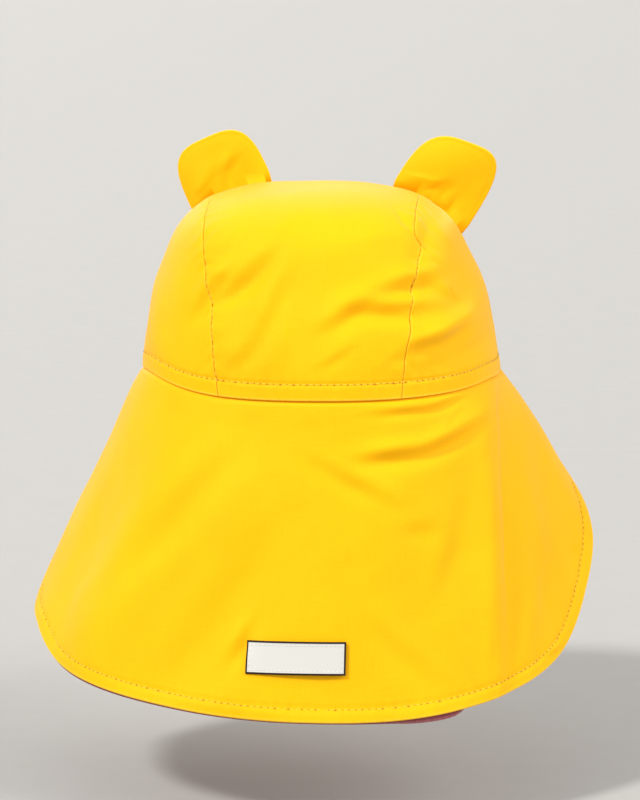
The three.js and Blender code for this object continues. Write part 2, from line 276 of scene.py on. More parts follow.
FLAP_TUCKS = table(
    FOLD_COLUMNS,
    (0.45, -0.17, 85, 0.1, 0.031, 0.0125),
    (0.74, -0.14, 71, 0.1, 0.031, 0.0115),
    (0.5, -0.035, 88, 0.09, 0.019, 0.0072),
    (0.72, -0.025, 76, 0.07, 0.018, 0.006),
    (0.75, -0.08, 42, 0.05, 0.01, 0.0012),
    (0.25, -0.25, -62, 0.14, 0.036, -0.0058),
    (0.59, -0.4, -84, 0.06, 0.038, -0.003),
    (0.75, -0.48, 12, 0.13, 0.044, 0.0048),
    (1.01, -0.2, -4, 0.19, 0.013, 0.003),
    (1.05, -0.53, -3, 0.19, 0.022, 0.0045),
    (0.96, -0.81, 1, 0.13, 0.0165, 0.0015),
    (1.23, -0.42, -13, 0.15, 0.035, 0.0036),
    (1.24, -0.68, 7, 0.15, 0.034, 0.0036),
    (-0.72, -0.46, 42, 0.31, 0.075, -0.0105),
    (-0.5, -0.62, 35, 0.27, 0.085, 0.0092),
    (-0.72, -0.355, 40, 0.27, 0.05, 0.0045),
    (-0.36, -0.755, 28, 0.07, 0.03, 0.0105),
    (-0.7, -0.83, 8, 0.08, 0.02, 0.0012),
    (0.52, -0.78, -47, 0.16, 0.045, -0.0038),
    (1.31, -0.86, 76, 0.024, 0.01, 0.0035),
    (1.43, -0.57, -73, 0.02, 0.01, -0.0035),
)

# Tucks in the ears, seen from behind. Across and up are measured along the ear from its foot.
# All columns but the lean are shares of the ear's width.
LEFT_EAR_TUCKS = table(
    FOLD_COLUMNS,
    (-0.16, 0.23, 49, 0.15, 0.09, 0.012),
    (0.12, 0.28, 60, 0.15, 0.09, 0.016),
    (0.03, 0.16, 35, 0.15, 0.07, 0.01),
    (-0.28, 0.14, 70, 0.12, 0.06, 0.008),
)
RIGHT_EAR_TUCKS = table(
    FOLD_COLUMNS,
    (-0.33, 0.1, 60, 0.16, 0.055, 0.02),
    (-0.14, 0.16, 75, 0.12, 0.06, 0.014),
    (-0.04, 0.25, 47, 0.1, 0.07, 0.008),
    (0.19, 0.04, 72, 0.13, 0.06, 0.012),
    (0.1, 0.18, 27, 0.1, 0.05, -0.007),
    (0.42, -0.08, -84, 0.1, 0.05, -0.009),
    (0.44, 0.39, 3, 0.12, 0.08, 0.006),
)

# How far the right seam is pulled out of line, as a share of half the head width, by height
SEAM_PULL = table(
    "height shift",
    (0.0, 0.0),
    (0.25, 0.0),
    (0.35, 0.015),
    (0.5, 0.02),
    (0.62, 0.03),
    (0.69, 0.046),
    (0.745, 0.05),
    (0.79, 0.006),
    (0.86, -0.006),
    (1.0, 0.0),
)

# Where the band is drawn up off its level. Lift and reach are shares of the crown's height.
BAND_LIFTS = table(
    "turn breadth lift reach",
    (-92, 16, 0.022, 0.39),
    (-60, 24, 0.072, 0.39),
    (52, 24, 0.0145, 0.39),
    (64, 14, 0.018, 0.39),
    (88, 18, 0.018, 0.39),
)

# How each ear stands
EARS = (
    {"side": "left", "across": -0.545, "rise": 0.89, "lean": -25, "slant": -1, "tucks": LEFT_EAR_TUCKS},
    {"side": "right", "across": 0.605, "rise": 1.08, "lean": 32, "slant": 12, "tucks": RIGHT_EAR_TUCKS},
)


def read_column(rows, key, column, at):
    """One column of a table at a key, on a smooth curve through its rows."""
    keys, values = rows[key], rows[column]
    last = len(keys) - 1
    i = np.clip(np.searchsorted(keys, at) - 1, 0, last - 1)
    before, after = np.maximum(i - 1, 0), np.minimum(i + 2, last)
    span = keys[i + 1] - keys[i]
    t = np.clip((at - keys[i]) / span, 0, 1)
    slope_in = (values[i + 1] - values[before]) / (keys[i + 1] - keys[before]) * span
    slope_out = (values[after] - values[i]) / (keys[after] - keys[i]) * span
    start = values[i] * (1 + 2 * t) * (1 - t) ** 2 + slope_in * t * (1 - t) ** 2
    end = values[i + 1] * t * t * (3 - 2 * t) - slope_out * t * t * (1 - t)
    return start + end


def smooth(value, low, high):
    t = np.clip((value - low) / (high - low), 0, 1)
    return t * t * (3 - 2 * t)


def bell(value, breadth):
    return np.exp(-((value / breadth) ** 2))


def vectors(x, y, z):
    return np.stack(np.broadcast_arrays(x, y, z), axis=-1).astype(float)


def crown_level(point):
    """Below zero inside the crown, zero on its outer face, above zero outside."""
    height = np.maximum(point[..., 2] / CROWN_HEIGHT, 0)
    leaned = point[..., 0] - CROWN_LEAN * height
    width = HALF_WIDTH * read_column(CROWN_RINGS, "height", "width", height)
    depth = HALF_DEPTH * read_column(CROWN_RINGS, "height", "depth", height)
    ring = np.abs(leaned / width) ** HEAD_SQUARENESS + np.abs(point[..., 1] / depth) ** HEAD_SQUARENESS
    return height**CROWN_SQUARENESS + ring ** (CROWN_SQUARENESS / HEAD_SQUARENESS) - 1


def meet_crown(path, shape):
    """Walks paths that start inside the crown and returns where they meet its outer face."""
    inside = np.zeros(shape)
    outside = np.full(shape, 2 * (HALF_WIDTH + HALF_DEPTH + CROWN_HEIGHT))
    for _ in range(36):
        middle = (inside + outside) / 2
        beyond = crown_level(path(middle)) > 0
        outside = np.where(beyond, middle, outside)
        inside = np.where(beyond, inside, middle)
    return path(inside)


def cast_to_crown(direction):
    heading = direction / np.linalg.norm(direction, axis=-1, keepdims=True)
    return meet_crown(lambda reach: heading * reach[..., None], direction.shape[:-1])


def crown_normal(point):
    step = 0.00002
    slopes = [crown_level(point + step * axis) - crown_level(point - step * axis) for axis in np.eye(3)]
    normal = np.stack(slopes, axis=-1)
    normal[..., 2] = np.where(point[..., 2] < step, 0, normal[..., 2])
    return normal / np.linalg.norm(normal, axis=-1, keepdims=True)


def ridge_shape(aside):
    return np.exp(-aside * aside)


def tuck_shape(aside):
    return -2.33 * aside * np.exp(-aside * aside)


def fold_height(folds, shape, x, z, unit, half_width=HALF_WIDTH):
    """Sum of the folds of a table at a place seen from behind."""
    total = 0
    for across, up, lean, length, breadth, height in zip(*folds.values()):
        right, above = (x - across * half_width) / unit, z / unit - up
        turn = math.radians(lean)
        along = (right * math.sin(turn) + above * math.cos(turn)) / length
        aside = (right * math.cos(turn) - above * math.sin(turn)) / breadth
        total = total + height * unit * shape(aside) * np.exp(-along * along)
    return total


def ripple(point, wavelength, height, seed):
    """Soft random waves in space, the same on each run."""
    rng = np.random.default_rng(seed)
    total = 0
    for _ in range(9):
        heading = rng.normal(size=3)
        heading *= 2 * math.pi / (wavelength * rng.uniform(0.7, 1.5)) / np.linalg.norm(heading)
        total = total + np.sin(point @ heading + rng.uniform(0, 2 * math.pi))
    return total * height / 3


def lift_at(point):
    turn = np.degrees(np.arctan2(point[..., 0], -point[..., 1]))
    total = 0
    for at, breadth, lift, reach in zip(*BAND_LIFTS.values()):
        near = bell(point[..., 2], reach * CROWN_HEIGHT)
        total = total + lift * CROWN_HEIGHT * near * bell(turn - at, breadth)
    return total


def crown_skin(point, inset):
    """Moves points of the outer face by the crown's folds, then inwards by the inset."""
    behind = smooth(-point[..., 1] / HALF_DEPTH, 0.1, 0.6)
    above_band = smooth(point[..., 2], FLAP_TUCK, 3 * FLAP_TUCK)
    fold = fold_height(CROWN_FOLDS, ridge_shape, point[..., 0], point[..., 2], CROWN_HEIGHT)
    fold = fold + fold_height(CROWN_TUCKS, tuck_shape, point[..., 0], point[..., 2], CROWN_HEIGHT)
    fold = fold * behind * above_band
    moved = point + crown_normal(point) * (fold - inset)[..., None]
    moved[..., 2] += lift_at(point)
    return moved


def arch_point(across, arch, margin):
    """Points of the outer face on the arch from the back band (0) over the top to the front (1)."""
    angle = arch * math.pi

    def path(reach):
        z = reach * np.sin(angle)
        height = np.maximum(z, 0) / CROWN_HEIGHT
        half = (MIDDLE_FOOT + (MIDDLE_TOP - MIDDLE_FOOT) * height**MIDDLE_CURVE) / 2
        pull = HALF_WIDTH * read_column(SEAM_PULL, "height", "shift", np.minimum(height, 1))
        pull = pull * np.maximum(across, 0) * smooth(np.cos(angle), 0.0, 0.5)
        x = across * (half + margin) + pull + CROWN_LEAN * z / CROWN_HEIGHT
        return vectors(x, -reach * np.cos(angle), z)

    return meet_crown(path, np.broadcast(across, arch).shape)


def edged(inner, length):
    """Shares from 0 to 1 along a length, with small steps near both ends for a rounded edge."""
    steps = np.array(EDGE_STEPS)
    return np.concatenate([steps, inner, (length - steps)[::-1]]) / length


def graded(length, cell):
    """Shares along a length, evenly spaced between its two edges."""
    return edged(np.linspace(EVEN_START, length - EVEN_START, max(int(length / cell), 4)), length)


def front_to_back(length, fine_share):
    """Shares along a length that is seen close up in its first stretch and from afar in the rest."""
    turn = fine_share * length
    fine = np.linspace(EVEN_START, turn, int(turn / FINE_CELL))
    wide = np.linspace(turn, length - EVEN_START, int((length - turn) / WIDE_CELL))[1:]
    return edged(np.concatenate([fine, wide]), length)


def rounded_edge(distance, radius):
    """How far a wall's face draws back near its edge, for a round rim."""
    t = np.clip(distance / radius, 0, 1)
    return radius * (1 - np.sqrt(1 - (1 - t) ** 2))


def stitch_relief(distance, along, pull, seed):
    """The groove of a sewn line, with small puckers on both sides."""
    groove = -pull * bell(distance, 0.0009)
    phase = ripple(vectors(along, 0 * along, 0 * along), 0.03, 1.2, seed)
    pucker = 0.3 * pull * np.sin(2 * math.pi * along / 0.0052 + 2 * phase) * bell(distance, 0.0028)
    return groove + pucker


def quads(a, b, c, d):
    return np.stack([a.ravel(), b.ravel(), c.ravel(), d.ravel()], axis=1)


def close_wall(name, outer, inner, flat, worn):
    """A mesh wall from an outer and an inner grid of points, with its cloth coordinates in metres."""
    columns, rows = outer.shape[:2]
    index = np.arange(columns * rows).reshape(columns, rows)
    back = index + columns * rows
    faces = [quads(index[:-1, :-1], index[1:, :-1], index[1:, 1:], index[:-1, 1:])]
    faces.append(quads(back[:-1, :-1], back[:-1, 1:], back[1:, 1:], back[1:, :-1]))
    faces.append(quads(index[:-1, 0], back[:-1, 0], back[1:, 0], index[1:, 0]))
    faces.append(quads(index[:-1, -1], index[1:, -1], back[1:, -1], back[:-1, -1]))
    faces.append(quads(index[0, :-1], index[0, 1:], back[0, 1:], back[0, :-1]))
    faces.append(quads(index[-1, :-1], back[-1, :-1], back[-1, 1:], index[-1, 1:]))
    points = np.concatenate([outer.reshape(-1, 3), inner.reshape(-1, 3)])
    cloth = np.concatenate([flat.reshape(-1, 2), flat.reshape(-1, 2)])
    wear = np.concatenate([worn.ravel(), worn.ravel()])
    return make_piece(name, points, np.concatenate(faces), cloth, wear)


def make_piece(name, points, faces, cloth, wear):
    """A smooth mesh object with UVs in metres and a wear value, its faces turned outwards."""
    corners = points[faces]
    volume = np.einsum("ij,ij->i", corners[:, 0], np.cross(corners[:, 1], corners[:, 2])).sum()
    volume += np.einsum("ij,ij->i", corners[:, 0], np.cross(corners[:, 2], corners[:, 3])).sum()
    if volume < 0:
        faces = faces[:, ::-1]
    mesh = bpy.data.meshes.new(name)
    mesh.from_pydata(points.tolist(), [], faces.tolist())
    layer = mesh.uv_layers.new(name="cloth")
    layer.data.foreach_set("uv", cloth[faces.ravel()].ravel())
    mesh.attributes.new("worn", "FLOAT", "POINT").data.foreach_set("value", wear)
    mesh.shade_smooth()
    join_close_points(mesh)
    return put_in_scene(name, mesh)


def put_in_scene(name, data):
    """A new object for a mesh, curve, light or camera, linked to the scene."""
    thing = bpy.data.objects.new(name, data)
    bpy.context.scene.collection.objects.link(thing)
    return thing


def join_close_points(mesh):
    """Joins points that lie on each other, so that pinched corners are closed."""
    work = bmesh.new()
    work.from_mesh(mesh)
    bmesh.ops.remove_doubles(work, verts=work.verts, dist=0.000002)
    bmesh.ops.dissolve_degenerate(work, edges=work.edges, dist=0.000001)
    work.to_mesh(mesh)
    work.free()


class Wire:
    """One socket of a material. Arithmetic on it adds Math nodes."""

    def __init__(self, paint, socket):
        self.paint, self.socket = paint, socket

    def maths(self, operation, *values):
        return self.paint.add("ShaderNodeMath", {"operation": operation}, *values)

    def __add__(self, other):
        return self.maths("ADD", self, other)

    def __sub__(self, other):
        return self.maths("SUBTRACT", self, other)

    def __rsub__(self, other):
        return self.maths("SUBTRACT", other, self)

    def __mul__(self, other):
        return self.maths("MULTIPLY", self, other)

    __radd__, __rmul__ = __add__, __mul__

    def wave(self):
        return self.maths("SINE", self)

    def size(self):
        return self.maths("ABSOLUTE", self)

    def clamped(self):
        return self.paint.add("ShaderNodeClamp", {}, self)

    def above(self, limit):
        return self.maths("GREATER_THAN", self, limit)


class Paint:
    """A material under construction."""

    def __init__(self, name):
        self.material = bpy.data.materials.new(name)
        self.material.use_nodes = True
        self.tree = self.material.node_tree
        self.tree.nodes.clear()

    def add(self, kind, settings, *values, out=0, **named):
        node = self.tree.nodes.new(kind)
        for setting, value in settings.items():
            setattr(node, setting, value)
        for key, value in [*enumerate(values), *named.items()]:
            socket = node.inputs[key if isinstance(key, int) else key.replace("_", " ")]
            if isinstance(value, Wire):
                self.tree.links.new(value.socket, socket)
            else:
                socket.default_value = value
        return Wire(self, node.outputs[out]) if node.outputs else None

    def noise(self, vector, scale, detail=2.0):
        return self.add("ShaderNodeTexNoise", {}, Vector=vector, Scale=scale, Detail=detail)

    def blend(self, share, first, second):
        node = self.tree.nodes.new("ShaderNodeMix")
        node.data_type = "RGBA"
        for key, value in (("Factor_Float", share), ("A_Color", first), ("B_Color", second)):
            socket = next(s for s in node.inputs if s.identifier == key)
            if isinstance(value, Wire):
                self.tree.links.new(value.socket, socket)
            else:
                socket.default_value = value
        return Wire(self, next(s for s in node.outputs if s.identifier == "Result_Color"))

    def finish(self, **sockets):
        shader = self.add("ShaderNodeBsdfPrincipled", {}, **sockets)
        self.add("ShaderNodeOutputMaterial", {}, shader)
        return self.material


def rgb(red, green, blue):
    return (red, green, blue, 1.0)


def cloth_finish(name, light, deep, pale, pitch, sheen, sheen_tint):
    """Plain-woven cloth: threads over and under, slubs, uneven dye and paler worn edges."""
    paint = Paint(name)
    cloth = paint.add("ShaderNodeUVMap", {"uv_map": "cloth"})
    split = paint.add("ShaderNodeSeparateXYZ", {}, cloth)
    down = Wire(paint, split.socket.node.outputs[1])
    warp, weft = split * (math.pi / pitch), down * (math.pi / pitch)
    over = (warp.wave() * weft.wave() * 3.0 + 0.5).clamped()
    thread = over * warp.wave().size() + (1 - over) * weft.wave().size()
    along = paint.add("ShaderNodeMapping", {}, cloth, Scale=(2200.0, 110.0, 1.0))
    across = paint.add("ShaderNodeMapping", {}, cloth, Scale=(130.0, 2000.0, 1.0))
    slub = paint.noise(along, 1.0) * 0.5 + paint.noise(across, 1.0) * 0.5
    place = paint.add("ShaderNodeTexCoord", {}, out=3)
    patch = paint.noise(place, 38.0, 3.0)
    shade = ((slub - 0.5) * 1.5 + (patch - 0.5) * 0.9 + thread * 0.35 + 0.25).clamped()
    dyed = paint.blend(shade, deep, light)
    worn = paint.add("ShaderNodeAttribute", {"attribute_name": "worn"}, out=2)
    rubbed = (worn * paint.noise(place, 900.0, 3.0) * 1.5 - 0.25).clamped()
    color = paint.blend(rubbed, dyed, pale)
    height = thread * 0.6 + slub * 0.55
    bump = paint.add("ShaderNodeBump", {}, Strength=0.55, Distance=0.00016, Height=height)
    rough = 0.5 + slub * 0.14 + rubbed * 0.06
    return paint.finish(
        Base_Color=color,
        Roughness=rough,
        Normal=bump,
        Sheen_Weight=sheen,
        Sheen_Roughness=0.22,
        Sheen_Tint=sheen_tint,
        Specular_IOR_Level=0.1,
    )


def thread_finish(name, light, deep, sheen=0.3):
    """Spun sewing thread, with its twist as fine slanting ridges."""
    paint = Paint(name)
    place = paint.add("ShaderNodeTexCoord", {}, out=3)
    split = paint.add("ShaderNodeSeparateXYZ", {}, place)
    up = Wire(paint, split.socket.node.outputs[2])
    twist = ((split + up) * (2 * math.pi / 0.0005)).wave() * 0.5 + 0.5
    color = paint.blend(twist * 0.7 + paint.noise(place, 700.0) * 0.3, deep, light)
    bump = paint.add("ShaderNodeBump", {}, Strength=0.5, Distance=0.0001, Height=twist)
    return paint.finish(Base_Color=color, Roughness=0.55 + twist * 0.15, Normal=bump, Sheen_Weight=sheen)


def label_finish():
    """Plain white woven tape with a dark edge."""
    paint = Paint("label tape")
    cloth = paint.add("ShaderNodeUVMap", {"uv_map": "cloth"})
    split = paint.add("ShaderNodeSeparateXYZ", {}, cloth)
    down = Wire(paint, split.socket.node.outputs[1])
    side = split.size() - (LABEL_WIDTH / 2 - LABEL_EDGE)
    rise = down.size() - (LABEL_HEIGHT / 2 - LABEL_EDGE)
    edge = side.maths("MAXIMUM", side, rise).above(0.0)
    warp, weft = split * (math.pi / 0.00042), down * (math.pi / 0.0003)
    thread = warp.wave().size() * 0.4 + weft.wave().size() * 0.6
    grain = paint.noise(cloth, 1800.0, 3.0)
    paper = paint.blend(thread * 0.5 + grain * 0.5, rgb(0.56, 0.555, 0.52), rgb(0.7, 0.695, 0.665))
    dark = paint.blend(grain, rgb(0.008, 0.004, 0.004), rgb(0.03, 0.016, 0.015))
    color = paint.blend(edge, paper, dark)
    bump = paint.add("ShaderNodeBump", {}, Strength=0.5, Distance=0.00012, Height=thread + edge * 0.8)
    return paint.finish(Base_Color=color, Roughness=0.62 + grain * 0.15, Normal=bump, Specular_IOR_Level=0.2)


YELLOW_CLOTH = cloth_finish(
    "yellow woven cloth", rgb(0.99, 0.54, 0.003), rgb(0.98, 0.47, 0.001), rgb(0.99, 0.62, 0.05),
    WEAVE_PITCH, 0.4, rgb(1.0, 0.9, 0.55),
)
LINING_CLOTH = cloth_finish(
    "mauve woven lining", rgb(0.30, 0.085, 0.10), rgb(0.20, 0.05, 0.065), rgb(0.42, 0.16, 0.17),
    WEAVE_PITCH, 0.25, rgb(1.0, 0.75, 0.75),
)
YELLOW_THREAD = thread_finish("yellow sewing thread", rgb(0.99, 0.6, 0.02), rgb(0.95, 0.5, 0.005))
# Painted shade: a darker copy of the thread finish, for beads that stand in for the shadow in the needle
# holes
NEEDLE_SHADE = thread_finish("needle hole shade", rgb(0.5, 0.27, 0.002), rgb(0.38, 0.19, 0.001), 0.0)
WHITE_THREAD = thread_finish("white sewing thread", rgb(0.9, 0.88, 0.82), rgb(0.7, 0.66, 0.6))
LABEL_TAPE = label_finish()


def dress(piece, material, slot, *nodes):
    """Gives a piece its finish and its body, and hides the nodes that it stands for. The slot is not used."""
    piece.data.materials.clear()
    piece.data.materials.append(material)
    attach(piece, "root")
    if nodes:
        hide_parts(*nodes)


def band_relief(point):
    """The crown's lowest stretch, folded up inside and sewn down along its top."""
    above = point[..., 2]
    along = np.arctan2(point[..., 0], -point[..., 1]) * MEAN_RADIUS
    band = 0.00025 * (1 - smooth(above, BAND_HEIGHT - 0.0003, BAND_HEIGHT + 0.0005))
    return band + stitch_relief(above - BAND_HEIGHT, along, 0.0004, 9)


def crown_relief(point, seam_distance, seam_along, ridge):
    """Fine forms of a crown panel: the band, the rolled seam, and the cloth's own unevenness."""
    above = point[..., 2]
    allowance = ridge * smooth(seam_distance, 0.0075, 0.0035) * smooth(above, 0.0, 0.01)
    gathers = 0.00022 * np.sin(2 * math.pi * seam_along / 0.0095 + ripple(point, 0.02, 1.5, 12))
    gathers = gathers * np.exp(-seam_distance / 0.006)
    loose = ripple(point, 0.045, 0.00035, 13) + ripple(point, 0.016, 0.00008, 14)
    return band_relief(point) + allowance + gathers + loose * smooth(above, 0.004, 0.02)


def edge_wear(distance):
    return 1 - smooth(distance, 0.0004, 0.0018)


def middle_panel():
    shares = graded(MIDDLE_TOP, FINE_CELL)
    arches = front_to_back(2.9 * CROWN_HEIGHT + HALF_DEPTH, 0.42)
    across, arch = np.meshgrid(2 * shares - 1, arches, indexing="ij")
    base = arch_point(across, arch, -SEAM_SLIT / 2)
    seam = MIDDLE_TOP / 2 * (1 - np.abs(across))
    steps = np.linalg.norm(np.diff(base, axis=1), axis=-1)
    length = np.concatenate([np.zeros((len(shares), 1)), np.cumsum(steps, axis=1)], axis=1)
    length = np.broadcast_to(length[len(shares) // 2], length.shape)
    rim = np.minimum(length, length.max() - length)
    relief = crown_relief(base, seam, length, 0.0)
    relief = relief - rounded_edge(seam, SEAM_ROUND) - rounded_edge(rim, BAND_ROUND)
    outer = crown_skin(base, -relief)
    inner = crown_skin(base, CROWN_WALL - 0.5 * rounded_edge(rim, INNER_ROUND))
    flat = np.stack([base[..., 0], length], axis=-1)
    worn = np.maximum(edge_wear(rim), 0.6 * edge_wear(seam))
    piece = close_wall("middle_panel_cloth", outer, inner, flat, worn)
    dress(piece, YELLOW_CLOTH, "yellow_cloth", "crown_center")


def side_panel(side, node, name):
    foot = arch_point(np.array([float(side)]), np.array([0.0]), SEAM_SLIT / 2)[0]
    foot_turn = math.atan2(abs(foot[0]), -foot[1])
    arches = front_to_back(2.5 * CROWN_HEIGHT + HALF_DEPTH, 0.42)
    rises = graded(CROWN_HEIGHT, FINE_CELL)
    arch, rise = np.meshgrid(arches, rises, indexing="ij")
    seam_point = arch_point(np.full(arch.shape, float(side)), arch, SEAM_SLIT / 2)
    turn = foot_turn + (math.pi - 2 * foot_turn) * arch
    band_point = cast_to_crown(vectors(side * np.sin(turn), -np.cos(turn), 0 * turn))
    ends = ((arch == 0) | (arch == 1))[..., None]
    band_point = np.where(ends, seam_point, band_point)
    base = cast_to_crown(band_point * (1 - rise[..., None]) + seam_point * rise[..., None])
    seam = np.linalg.norm(base - seam_point, axis=-1)
    rim = base[..., 2]
    steps = np.linalg.norm(np.diff(seam_point[:, 0], axis=0), axis=-1)
    length = np.concatenate([[0.0], np.cumsum(steps)])[:, None] + 0 * rise
    relief = crown_relief(base, seam, length, 0.0002)
    relief = relief - rounded_edge(seam, SEAM_ROUND) - rounded_edge(rim, BAND_ROUND)
    outer = crown_skin(base, -relief)
    inner = crown_skin(base, CROWN_WALL - 0.5 * rounded_edge(rim, INNER_ROUND))
    flat = np.stack([base[..., 1], base[..., 2] + 0.4 * np.abs(base[..., 0])], axis=-1)
    worn = np.maximum(edge_wear(rim), 0.6 * edge_wear(seam))
    piece = close_wall(name, outer, inner, flat, worn)
    dress(piece, YELLOW_CLOTH, "yellow_cloth", node)


def band_edge(turn):
    """The head opening's edge at turns from the back centre, and its level outward heading."""
    angle = np.radians(turn)
    edge = cast_to_crown(vectors(np.sin(angle), -np.cos(angle), 0 * angle))
    return edge, crown_normal(edge)


def hem_fall(turn):
    return FLAP_DROP * read_column(FLAP_HEM, "turn", "drop", turn)


def flap_point(turn, fall, inset):
    """Points of the flap's outer face: turn in degrees, fall in metres below the band."""
    edge, outward = band_edge(turn)
    tucked = vectors(edge[..., 0], edge[..., 1], np.maximum(-fall, 0))
    above = crown_skin(cast_to_crown(tucked), 0 * fall)
    above = above - outward * (CROWN_WALL + GAP + inset)[..., None]
    drop = hem_fall(turn)
    flare = FLAP_FLARE * read_column(FLAP_HEM, "turn", "flare", turn)
    tilt = np.arctan2(flare, drop) * smooth(fall, 0, SEAM_ROLL)
    normal = outward * np.cos(tilt)[..., None] + vectors(0 * tilt, 0, np.sin(tilt))
    flush = (CROWN_WALL + GAP) * (smooth(fall, 0, SEAM_ROLL / 3) - 1)
    fallen = np.maximum(fall, 0) / drop
    point = edge + outward * (flare * fallen**FLAP_CURVE + flush)[..., None]
    point[..., 2] -= fall
    behind = smooth(np.cos(np.radians(turn)), -0.3, 0.3) * smooth(fall, 0, SEAM_ROLL)
    fold = fold_height(FLAP_FOLDS, ridge_shape, point[..., 0], point[..., 2], FLAP_DROP)
    fold = fold + fold_height(FLAP_TUCKS, tuck_shape, point[..., 0], point[..., 2], FLAP_DROP)
    fold = fold * behind
    lift = lift_at(point)
    point = point + normal * (fold - inset)[..., None]
    point[..., 2] += lift
    return np.where((fall < 0)[..., None], above, point)


def hem_distance(turn, fall, end):
    """How far a point of the flap lies from its hem, across the hem's slope."""
    step = 0.5
    rise = (hem_fall(turn + step) - hem_fall(turn - step)) / (2 * step)
    run = np.radians(1) * MEAN_RADIUS * 1.35
    slope = np.arctan2(np.abs(rise), run)
    down = (end - fall) * np.cos(slope)
    aside = np.radians(FLAP_REACH - np.abs(turn)) * MEAN_RADIUS
    return np.minimum(down, aside), slope


def cloth_fan(turn, fall):
    """Flat coordinates of the flap's cloth, cut as a ring sector with its grain upright behind."""
    angle = turn / (2 * FLAP_REACH) * FAN_SPREAD
    reach = FAN_RADIUS + fall
    return np.stack([reach * np.sin(angle), reach * np.cos(angle)], axis=-1)


def flap_relief(turn, fall, end, seed):
    distance, _ = hem_distance(turn, fall, end)
    along = np.radians(turn) * MEAN_RADIUS * (1 + 0.3 * fall / FLAP_DROP)
    hem = 0.0003 * (1 - smooth(distance, HEM_WIDTH - 0.0004, HEM_WIDTH + 0.0006))
    sewn = stitch_relief(distance - HEM_WIDTH, along, 0.0005, seed)
    place = cloth_fan(turn, fall)
    place = vectors(place[..., 0], place[..., 1], 0)
    loose = ripple(place, 0.06, 0.0005, seed + 2) + ripple(place, 0.02, 0.00010, seed + 3)
    below = smooth(fall, 0.0, 0.012)
    return (hem + sewn) * below + loose * below * smooth(distance, 0.0, 0.006), distance


def neck_flap():
    sides = 2 * graded(np.radians(2 * FLAP_REACH) * 0.105, 0.0013) - 1
    turns = (0.62 * sides + 0.38 * sides**3) * FLAP_REACH
    shares = graded(FLAP_DROP + FLAP_TUCK, 0.0012)
    turn, share = np.meshgrid(turns, shares, indexing="ij")
    end = hem_fall(turn)
    top = FLAP_TUCK / (FLAP_TUCK + FLAP_DROP)
    fall = np.where(share < top, FLAP_TUCK * (share / top - 1), end * (share - top) / (1 - top))
    relief, distance = flap_relief(turn, fall, end, FLAP_SEED)
    rounding = rounded_edge(np.maximum(distance, 0), HEM_ROUND)
    outer = flap_point(turn, fall, rounding - relief)
    inner = flap_point(turn, fall, FLAP_WALL - 0.5 * rounding)
    piece = close_wall("neck_flap_cloth", outer, inner, cloth_fan(turn, fall), edge_wear(distance))
    dress(piece, YELLOW_CLOTH, "yellow_cloth", "neck_flap")
    return piece


def flap_lining():
    turns = (2 * graded(np.radians(2 * FLAP_REACH) * 0.105, 0.0022) - 1) * FLAP_REACH
    shares = graded(FLAP_DROP, 0.0022)
    turn, share = np.meshgrid(turns, shares, indexing="ij")
    end = hem_fall(turn)
    peek = LINING_PEEK * read_column(LINING_SHOWS, "turn", "peek", turn)
    start = np.minimum(LINING_START, end / 2)
    fall = start + (end + peek * smooth(share, 0.8, 1.0) - start) * share
    backing = FLAP_WALL + GAP + 0 * fall
    place = vectors(*np.moveaxis(cloth_fan(turn, fall), -1, 0), 0)
    loose = np.minimum(ripple(place, 0.03, 0.00012, LINING_SEED), 0.0001)
    distance = np.maximum(end + peek - fall, 0)
    rounding = rounded_edge(distance, LINING_ROUND)
    outer = flap_point(turn, fall, backing - np.minimum(loose, 0) + rounding)
    inner = flap_point(turn, fall, backing + LINING_WALL - loose - rounding)
    piece = close_wall("flap_lining_cloth", outer, inner, cloth_fan(turn, fall), edge_wear(distance))
    dress(piece, LINING_CLOTH, "lining_cloth", "flap_lining")
    return piece


def label_surface(right, down, height):
    """A place on the label, in metres from its centre, laid on the flap."""
    low = float(hem_fall(np.array(0.0))) - LABEL_ABOVE_HEM - LABEL_HEIGHT / 2
    turned = math.radians(LABEL_TURN)
    across = right * math.cos(turned) - down * math.sin(turned) + LABEL_OFFSET
    below = right * math.sin(turned) + down * math.cos(turned)
    reach = np.abs(flap_point(0 * below, low - below, 0 * below)[..., 1])
    return flap_point(np.degrees(np.arctan2(across, reach)), low - below, -height)


def label_patch():
    across, down = np.meshgrid(
        (graded(LABEL_WIDTH, 0.0006) - 0.5) * LABEL_WIDTH,
        (graded(LABEL_HEIGHT, 0.0006) - 0.5) * LABEL_HEIGHT,
        indexing="ij",
    )
    distance = np.minimum(LABEL_WIDTH / 2 - np.abs(across), LABEL_HEIGHT / 2 - np.abs(down))
    raised = 0.00015 * (1 - smooth(distance, LABEL_EDGE, LABEL_EDGE + 0.0003))
    edge = raised - rounded_edge(distance, LABEL_ROUND)
    outer = label_surface(across, down, GAP + LABEL_WALL + edge)
    inner = label_surface(across, down, GAP + rounded_edge(distance, 0.0002))
    flat = np.stack([across, down], axis=-1)
    piece = close_wall("label_tape", outer, inner, flat, edge_wear(distance))
    dress(piece, LABEL_TAPE, "label_cloth", "label_patch")


def peak_point(side, out, height):
    """Points of the peak's upper face: side from -1 to 1, out from 0 at the band to 1 at its edge."""
    span = 180 - FLAP_REACH - PEAK_END_TURN
    edge, outward = band_edge(180 + side * span)
    reach = PEAK_ROOT + (PEAK_REACH - PEAK_ROOT) * np.maximum(1 - side * side, 0) ** PEAK_ROUNDNESS
    heading = outward + (np.array([0.0, 1.0, 0.0]) - outward) * (PEAK_FORWARD * side * side)[..., None]
    heading = heading / np.linalg.norm(heading, axis=-1, keepdims=True)
    point = edge - outward * CROWN_WALL + heading * (reach * out)[..., None]
    droop = PEAK_DROOP * reach / PEAK_REACH * (1 + (PEAK_END_DROOP - 1) * side * side)
    point[..., 2] += height - GAP - droop * out**PEAK_DROOP_CURVE
    return point, reach


